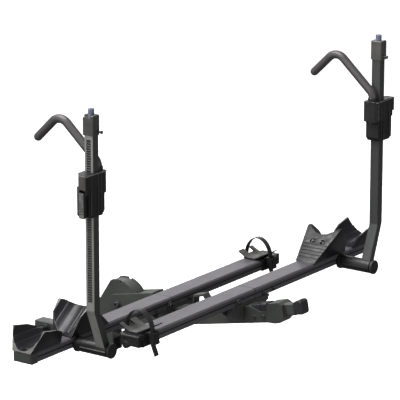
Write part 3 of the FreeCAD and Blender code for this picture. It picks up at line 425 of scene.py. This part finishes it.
def carve(bm, cutters):
    """Cuts solid bmeshes out of another and returns what is left."""
    target = loose_object(bm, "carving")
    tools = [loose_object(cutter, "cutter") for cutter in cutters]
    for tool in tools:
        cut = target.modifiers.new("cut", "BOOLEAN")
        cut.operation = "DIFFERENCE"
        cut.solver = "EXACT"
        cut.object = tool
    bpy.context.view_layer.update()
    ready = target.evaluated_get(bpy.context.evaluated_depsgraph_get())
    out = bmesh.new()
    out.from_mesh(ready.to_mesh())
    for item in (target, *tools):
        mesh = item.data
        bpy.data.objects.remove(item)
        bpy.data.meshes.remove(mesh)
    bmesh.ops.remove_doubles(out, verts=out.verts, dist=0.01)
    bmesh.ops.dissolve_limit(out, angle_limit=math.radians(0.5), verts=out.verts, edges=out.edges)
    return out


def slab(points, axis, low, high):
    """Straight prism of a closed outline: axis Y takes (x, z), axis X takes (y, z)."""
    bm = bmesh.new()
    if axis == "Y":
        ring = [bm.verts.new((u, low, w)) for u, w in points]
        run = Vector((0, high - low, 0))
    else:
        ring = [bm.verts.new((low, u, w)) for u, w in points]
        run = Vector((high - low, 0, 0))
    face = bm.faces.new(ring)
    grown = bmesh.ops.extrude_face_region(bm, geom=[face])["geom"]
    bmesh.ops.translate(bm, vec=run, verts=[g for g in grown if isinstance(g, bmesh.types.BMVert)])
    return bm


def both_sides(right):
    """Outline symmetrical about the middle, from its right half."""
    return right + [(-u, w) for u, w in right[::-1] if u > 0.01]


CHOCK_FOOT = 38.0
CHOCK_RIM = 66.0


def flared(bm, foot, top, height):
    """Leans the sides out with height, from the foot's half width to the top's."""
    for vert in bm.verts:
        share = max(0.0, vert.co.z) / height
        vert.co.y *= (foot + (top - foot) * share) / 100.0
    return bm


def outer_scoop():
    """Trough at the tray's end that the front of the wheel rolls into."""
    side = [(-805.6, 0.2), (-766, 70), (-700, 58), (-664, 44), (-661, 38), (-646.4, 0.2)]
    bm = flared(slab(side, "Y", -100, 100), CHOCK_FOOT - 0.3, CHOCK_RIM, 70.0)
    right = [(0, 4), (12, 4.6), (20, 8), (28, 14), (34, 20), (37.5, 20.6), (44, 30), (49, 38.5), (52.5, 39.2),
             (57, 53), (60.5, 70), (62, 92)]
    trough = slab(both_sides(right[::-1])[::-1], "X", -830, -630)
    for vert in trough.verts:
        if vert.co.x > -700 and vert.co.z < 80:
            vert.co.y *= 0.93
    cutters = [trough]
    for side_way in (-1, 1):
        hollow = [(-768, 7), (-760, 52), (-704, 46), (-668, 33), (-658, 7)]
        pocket = slab(hollow, "Y", 0, 100)
        for vert in pocket.verts:
            lean = 33.0 + 0.42 * vert.co.z
            vert.co.y = (lean + 2.5 if vert.co.y < 50 else lean + 40) * side_way
        cutters.append(pocket)
    recess = bmesh.new()
    block(recess, -792, -770, -9, 9, 1.6, 9)
    cutters.append(recess)
    return carve(bm, cutters)


def inner_scoop():
    """Steep trough behind the wheel, with a grooved back."""
    side = [(-392.4, 0.2), (-513, 95.6), (-527, 99.6), (-568.6, 68), (-595.6, 0.2)]
    bm = flared(slab(side, "Y", -100, 100), CHOCK_FOOT - 0.3, CHOCK_RIM + 2, 100.0)
    right = [(0, 0), (10, 0.8), (18, 3.5), (20.5, 2.2), (30, 9), (38, 15.6), (40.5, 14.8), (50, 27), (58, 38),
             (63, 47), (67, 130)]
    trough = slab(both_sides(right[::-1])[::-1], "X", 0, 260)
    lean = Matrix.Rotation(-math.atan2(84, 118), 4, "Y")
    bmesh.ops.transform(trough, matrix=Matrix.Translation((-624, 0, -13)) @ lean, verts=trough.verts)
    cutters = [trough]
    for side_way in (-1, 1):
        pocket = slab([(-572, 6), (-556, 52), (-520, 80), (-422, 8)], "Y", 0, 100)
        for vert in pocket.verts:
            out = 33.0 + 0.30 * vert.co.z
            vert.co.y = (out + 1.5 if vert.co.y < 50 else out + 40) * side_way
        cutters.append(pocket)
    along_back = Vector((121, 0, -96)).normalized()
    off_back = Vector((96, 0, 121)).normalized()
    top = Vector((-513, 0, 95.6))
    for i in range(5):
        groove = bmesh.new()
        spot = top + along_back * (72.0 + 14.5 * i)
        made = block(groove, -1.3, 1.3, -100, 100, -1.6, 2)
        frame_of = Matrix((along_back, Vector((0, 1, 0)), off_back)).transposed()
        bmesh.ops.rotate(groove, matrix=frame_of, verts=made)
        bmesh.ops.translate(groove, vec=spot, verts=made)
        cutters.append(groove)
    for y in (-23.0, 16.0):
        hole = bmesh.new()
        drum(hole, top + along_back * 58 + Vector((0, y, 0)) + off_back * 1, off_back, 9.5, 14, 32)
        cutters.append(hole)
    return carve(bm, cutters)


def mast_region(face, outward, top):
    """0 for the plain mast, 1 for its paler outer rail, 2 for the black barrel at its foot."""
    spot = face.calc_center_median()
    off_axis = math.hypot(abs(spot.x) - MAST_FOOT_X, spot.z - top + MAST_FOOT_DROP)
    if off_axis < BARREL_REACH and abs(face.normal.x) < 0.999:
        return 2
    return 1 if face.normal.x * outward > 0.75 and abs(spot.x) > 0.57 else 0


def groove_painted_shade(face, top):
    """1 in the groove along each side of a tray, which is painted black as painted shade, 0 elsewhere."""
    below = top - face.calc_center_median().z
    return int(0.0150 < below < 0.0210 and abs(face.normal.x) < 0.5)


def cradle_lit_tops(face, top):
    """1 on the upper side of the wings, painted paler as painted light from above, 0 elsewhere."""
    spot = face.calc_center_median()
    return 1 if face.normal.z > 0.5 and spot.z > top + 0.004 else 0


def carriage_bars(tray, rows):
    """Rounded bars on the face of a hook carriage: spans across, out of the face, and up, in millimetres."""
    low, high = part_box("carriage_" + tray)
    way = -PLACES[tray][1]
    bm = bmesh.new()
    for across, out, up in rows:
        x0, x1 = sorted(way * m * MM for m in across)
        z0, z1 = (low.z + m * MM if m >= 0 else carriage_top(tray) + m * MM for m in up)
        block(bm, x0, x1, low.y - out * MM, low.y + 0.0026, z0, z1)
    soften(bm, 0.0005, 2)
    return bm


def carriage_top(tray):
    """Height of the flat top of a hook carriage, below the collar around its arm."""
    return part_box("carriage_" + tray)[1].z - COLLAR_RISE


def carriage_trim(tray):
    """Rim along the top edge, painted pale as a painted highlight, face ribs and slotted inner lip of a hook
    carriage.
    """
    rim = [((573, 683), 1.0, (-4.2, -1.6))]
    # the rim bar's pale finish is a painted highlight along the carriage's top edge
    settle(carriage_bars(tray, rim), "carriage_highlight_rim_" + tray, [bright_edge()], "hook_" + tray)
    ribs = [((653, 655.4), 0.9, (10, -8)), ((617, 619), 0.6, (6, -6)), ((601, 603), 0.6, (6, -6))]
    settle(carriage_bars(tray, ribs), "carriage_ribs_" + tray, [grey_moulding()], "hook_" + tray)
    lip = [((579, 587), 1.4, (-66, -46)), ((579, 587), 1.4, (-42, -26)), ((579, 587), 1.4, (-22, -8))]
    settle(carriage_bars(tray, lip), "carriage_lip_" + tray, [grey_moulding()], "hook_" + tray)


class RackOperator:
    """What every operator of the rack shares."""
    bl_options = {"REGISTER"}


class RACK_OT_hitch(RackOperator, bpy.types.Operator):
    """Shank, hub plates, tilt bolt and the hitch bolt with its knob"""
    bl_idname = "rack.hitch"
    bl_label = "Hitch mount"

    def execute(self, context):
        coat_node("hitch_shank", frame_coat(), 0.0006)
        keep_node("hitch_thread_block", bright_steel())
        coat_node("hub_plates", frame_coat(), 0.0010)
        coat_node("hub_rim", frame_coat(), 0.0008)
        coat_node("pivot_bolt", dark_bolt(), 0.0008)
        coat_node("hitch_bolt", bright_steel(), 0.0005)
        coat_node("hitch_washer", bright_steel(), 0.0005)
        coat_node("hitch_knob", black_moulding(), 0.0012)
        coat_node("hitch_knob_core", key_plastic(), 0.0004)
        return {"FINISHED"}


class RACK_OT_spine(RackOperator, bpy.types.Operator):
    """Spine tube, saddles, arched strip and the lock inside it"""
    bl_idname = "rack.spine"
    bl_label = "Spine"

    def execute(self, context):
        for node in ("spine_tube", "saddle_a", "saddle_b", "spine_arch"):
            coat_node(node, frame_coat(), 0.0010)
        coat_node("lock_dog", bright_steel(), 0.0005)
        coat_node("pull_rod", bright_steel(), 0.0005)
        return {"FINISHED"}


class RACK_OT_handle(RackOperator, bpy.types.Operator):
    """Handle casings, their bolts and the hand grip"""
    bl_idname = "rack.handle"
    bl_label = "Tilt handle"

    def execute(self, context):
        coat_node("handle_casing_upper", grip_moulding(), 0.0015, 3)
        coat_node("handle_casing_end", frame_coat(), 0.0015, 3)
        coat_node("handle_bolts", dark_bolt(), 0.0006)
        coat_node("tilt_grip", grip_moulding(), 0.0018, 3)
        return {"FINISHED"}


class RACK_OT_trays(RackOperator, bpy.types.Operator):
    """Wheel trays with their sleeves, bolts and end caps"""
    bl_idname = "rack.trays"
    bl_label = "Trays"

    def execute(self, context):
        for tray in ("a", "b"):
            for end in ("outer", "inner"):
                # the groove along each tray side gets the black finish as painted shade
                coat_node("tray_" + tray + "_" + end, tray_coat(), 0.0006, others=[toothed_black()],
                          paint=lambda f: groove_painted_shade(f, PLACES[tray][0].z))
        keep_node("tray_sleeves", bright_steel())
        for tray in ("a", "b"):
            place, side = PLACES[tray]
            gap = (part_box("tray_" + tray + "_outer")[1 if side > 0 else 0].x * side) / MM + 0.3
            rim = [(32.7, 0.15), (37.65, -4.9), (37.65, -15), (35.65, -17), (35.65, -20), (36.65, -21),
                   (36.65, -35), (35.6, -36.15)]
            bm = slab(both_sides(rim), "X", gap - 1.5, gap + 1.5)
            hole = [(31.5, -1.0), (36.4, -5.4), (36.4, -14.6), (34.4, -16.6), (34.4, -20.4), (35.4, -21.4),
                    (35.4, -34.6), (34.6, -35.0)]
            bm = carve(bm, [slab(both_sides(hole), "X", gap - 5, gap + 5)])
            to_tray(bm, tray)
            settle(bm, "tray_seam_" + tray, [black_moulding()], "spine")
        coat_node("tray_bolts", dark_bolt(), 0.0006)
        coat_node("tray_outer_caps", frame_coat(), 0.0012)
        coat_node("tray_inner_caps", black_moulding(), 0.0010)
        return {"FINISHED"}


class RACK_OT_chocks(RackOperator, bpy.types.Operator):
    """Front wheel chocks"""
    bl_idname = "rack.chocks"
    bl_label = "Wheel chocks"

    def execute(self, context):
        for tray in ("a", "b"):
            for kind, make in (("outer", outer_scoop), ("inner", inner_scoop)):
                bm = make()
                soften(bm, 1.0, 2, 32.0)
                bm.normal_update()
                for face in bm.faces:
                    spot = face.calc_center_median()
                    out = face.normal
                    # up-facing faces and the outer end faces get the pale finish as a painted highlight; slot 2 is
                    # the grooved back of the inner scoop
                    if kind == "outer":
                        highlight_and_back_slot = out.x < -0.7 and spot.x < -755 and abs(out.y) < 0.4 or out.z > 0.75 and spot.z > 40
                    else:
                        slope = (spot.x + 392.4) * 95.6 + (spot.z - 0.2) * 120.6
                        highlight_and_back_slot = out.x < -0.6 and abs(spot.y) > 20
                        if slope > -150 and out.x > 0.5:
                            highlight_and_back_slot = 2
                    face.material_index = int(highlight_and_back_slot)
                to_tray(bm, tray)
                node = kind + "_scoop_" + tray
                settle(bm, node + "_look", [chock_moulding(), chock_painted_highlight(), chock_back()], body_of(node), 28.0,
                       nodes=[node], weighted=False)
        coat_node("chock_bolts", dark_bolt(), 0.0005)
        return {"FINISHED"}


class RACK_OT_masts(RackOperator, bpy.types.Operator):
    """Masts with their feet, strips, caps and key cores"""
    bl_idname = "rack.masts"
    bl_label = "Masts"

    def execute(self, context):
        for tray in ("a", "b"):
            outward = -PLACES[tray][1]
            coat_node("mast_" + tray, mast_coat(), 0.0008, others=[rail_coat(), black_moulding()],
                      paint=lambda f: mast_region(f, outward, PLACES[tray][0].z))
            rim = max(abs(corner.x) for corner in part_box("mast_strip_" + tray))
            coat_node("mast_strip_" + tray, toothed_black(), 0, others=[tooth_grey()],
                      paint=lambda f: 1 if abs(f.calc_center_median().x) > rim - 0.0004 else 0)
            coat_node("mast_cap_" + tray, grey_moulding(), 0.0010)
            coat_node("cap_pin_" + tray, dark_bolt(), 0.0005)
            coat_node("cap_core_" + tray, key_plastic(), 0.0004)
            coat_node("mast_button_" + tray, black_moulding(), 0.0005)
        coat_node("foot_stubs", black_moulding(), 0.0008)
        keep_node("foot_axles", bright_steel())
        return {"FINISHED"}


class RACK_OT_carriages(RackOperator, bpy.types.Operator):
    """Hook carriages and their release levers"""
    bl_idname = "rack.carriages"
    bl_label = "Hook carriages"

    def execute(self, context):
        for tray in ("a", "b"):
            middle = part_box("release_lever_" + tray)[1].z
            coat_node("carriage_" + tray, black_moulding(), 0.0008, others=[grey_moulding()],
                      paint=lambda f: 1 if abs(f.calc_center_median().x) > OUTER_BLOCK_X and
                      f.calc_center_median().z > middle and abs(f.normal.z) < 0.9 else 0)
            carriage_trim(tray)
            low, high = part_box("release_lever_" + tray)
            reach = max(abs(low.x), abs(high.x))
            coat_node("release_lever_" + tray, toothed_black(), 0.0003, others=[tooth_grey(), bright_edge()],
                      paint=lambda f: 2 if f.calc_center_median().z < low.z + 0.009 else
                      int(abs(f.calc_center_median().x) > reach - 0.0006))
        return {"FINISHED"}


class RACK_OT_hooks(RackOperator, bpy.types.Operator):
    """Bent hook arms with their rubber sleeves"""
    bl_idname = "rack.hooks"
    bl_label = "Hook arms"

    def execute(self, context):
        for tray in ("a", "b"):
            coat_node("hook_arm_" + tray, hook_rubber(), 0)
        return {"FINISHED"}


class RACK_OT_straps(RackOperator, bpy.types.Operator):
    """Rear wheel cradles, ladder straps and ratchet buckles"""
    bl_idname = "rack.straps"
    bl_label = "Rear wheel straps"

    def execute(self, context):
        for tray in ("a", "b"):
            # the wings' upward faces get the paler grey finish as painted light from above
            coat_node("cradle_" + tray, black_moulding(), 0.0010, others=[grey_moulding()],
                      paint=lambda f: cradle_lit_tops(f, PLACES[tray][0].z))
            coat_node("wheel_strap_" + tray, strap_rubber(), 0.0005)
            coat_node("buckle_" + tray, black_moulding(), 0.0006)
            coat_node("buckle_lever_" + tray, black_moulding(), 0.0005)
        return {"FINISHED"}


class RACK_OT_stage(RackOperator, bpy.types.Operator):
    """Pale floor, soft lights and the camera"""
    bl_idname = "rack.stage"
    bl_label = "Stage"

    def execute(self, context):
        scene = context.scene
        bm = bmesh.new()
        bmesh.ops.create_grid(bm, x_segments=1, y_segments=1, size=30.0)
        bmesh.ops.translate(bm, vec=Vector((0, 0, CAD_BOX[0][2] - 0.30)), verts=bm.verts)
        mesh = bpy.data.meshes.new("floor")
        bm.to_mesh(mesh)
        bm.free()
        floor = bpy.data.objects.new("floor", mesh)
        scene.collection.objects.link(floor)
        mat, tree, shader = finish_nodes("studio_floor")
        shader.inputs["Roughness"].default_value = 0.9
        shader.inputs["Base Color"].default_value = (0.95, 0.95, 0.95, 1)
        shader.inputs["Emission Color"].default_value = (1, 1, 1, 1)
        shader.inputs["Emission Strength"].default_value = 0.8
        mesh.materials.append(mat)
        floor.visible_diffuse = False
        floor.visible_glossy = False
        scene.view_settings.view_transform = "Standard"

        world = bpy.data.worlds.new("studio")
        world.use_nodes = True
        tree = world.node_tree
        back = tree.nodes["Background"]
        back.inputs["Color"].default_value = (1, 1, 1, 1)
        seen = tree.nodes.new("ShaderNodeLightPath")
        level = tree.nodes.new("ShaderNodeMapRange")
        level.inputs["To Min"].default_value = 0.15
        level.inputs["To Max"].default_value = 1.0
        tree.links.new(seen.outputs["Is Camera Ray"], level.inputs["Value"])
        tree.links.new(level.outputs["Result"], back.inputs["Strength"])
        scene.world = world

        middle = Vector((0.0, -0.6, 0.5))
        for name, place, size, power in (
            ("overhead", (-1.2, 0.6, 4.6), (3.5, 3.0), scene.rack_sizes.light),
            ("left_fill", (-5.5, 0.9, 1.6), (2.2, 2.6), 90.0),
            ("far_panel", (4.2, 2.6, 2.2), (4.0, 1.6), 34.0),
            ("front_panel", (-2.4, -7.4, 1.9), (3.4, 2.0), 92.0),
        ):
            lamp = bpy.data.lights.new(name, "AREA")
            lamp.shape = "RECTANGLE"
            lamp.size, lamp.size_y = size
            lamp.energy = power
            holder = bpy.data.objects.new(name, lamp)
            scene.collection.objects.link(holder)
            holder.visible_camera = False
            holder.location = place
            aim = middle - holder.location
            holder.rotation_euler = aim.to_track_quat("-Z", "Y").to_euler()

        target = Vector((0.085, -0.585, 0.5413))
        azimuth, elevation, distance = math.radians(-54.49), math.radians(15.07), 9.520
        eye = bpy.data.cameras.new("camera")
        eye.lens = 252.0
        eye.sensor_width = 36.0
        eye.clip_end = 200.0
        camera = bpy.data.objects.new("camera", eye)
        scene.collection.objects.link(camera)
        back_way = Vector((math.sin(azimuth) * math.cos(elevation),
                           -math.cos(azimuth) * math.cos(elevation), math.sin(elevation)))
        camera.location = target + back_way * distance
        camera.rotation_euler = (-back_way).to_track_quat("-Z", "Y").to_euler()
        scene.camera = camera
        return {"FINISHED"}


OPERATORS = (RACK_OT_hitch, RACK_OT_spine, RACK_OT_handle, RACK_OT_trays, RACK_OT_chocks, RACK_OT_masts,
             RACK_OT_carriages, RACK_OT_hooks, RACK_OT_straps, RACK_OT_stage)


class RACK_PT_panel(bpy.types.Panel):
    bl_idname = "RACK_PT_panel"
    bl_label = "Bike rack"
    bl_space_type = "VIEW_3D"
    bl_region_type = "UI"
    bl_category = "Bike rack"

    def draw(self, context):
        for group in (context.scene.rack_sizes, context.scene.rack_finish):
            for name in group.bl_rna.properties.keys():
                if name not in ("rna_type", "name"):
                    self.layout.prop(group, name)
        for operator in OPERATORS:
            self.layout.operator(operator.bl_idname)


CLASSES = (RackFinish, RackSizes, *OPERATORS, RACK_PT_panel)


def register():
    for item in CLASSES:
        bpy.utils.register_class(item)
    bpy.types.Scene.rack_finish = bpy.props.PointerProperty(type=RackFinish)
    bpy.types.Scene.rack_sizes = bpy.props.PointerProperty(type=RackSizes)


def unregister():
    del bpy.types.Scene.rack_finish
    del bpy.types.Scene.rack_sizes
    for item in reversed(CLASSES):
        bpy.utils.unregister_class(item)


def main():
    register()
    bpy.ops.rack.hitch()
    bpy.ops.rack.spine()
    bpy.ops.rack.handle()
    bpy.ops.rack.trays()
    bpy.ops.rack.chocks()
    bpy.ops.rack.masts()
    bpy.ops.rack.carriages()
    bpy.ops.rack.hooks()
    bpy.ops.rack.straps()
    bpy.ops.rack.stage()
    bpy.context.view_layer.update()


if __name__ == "__main__":
    main()
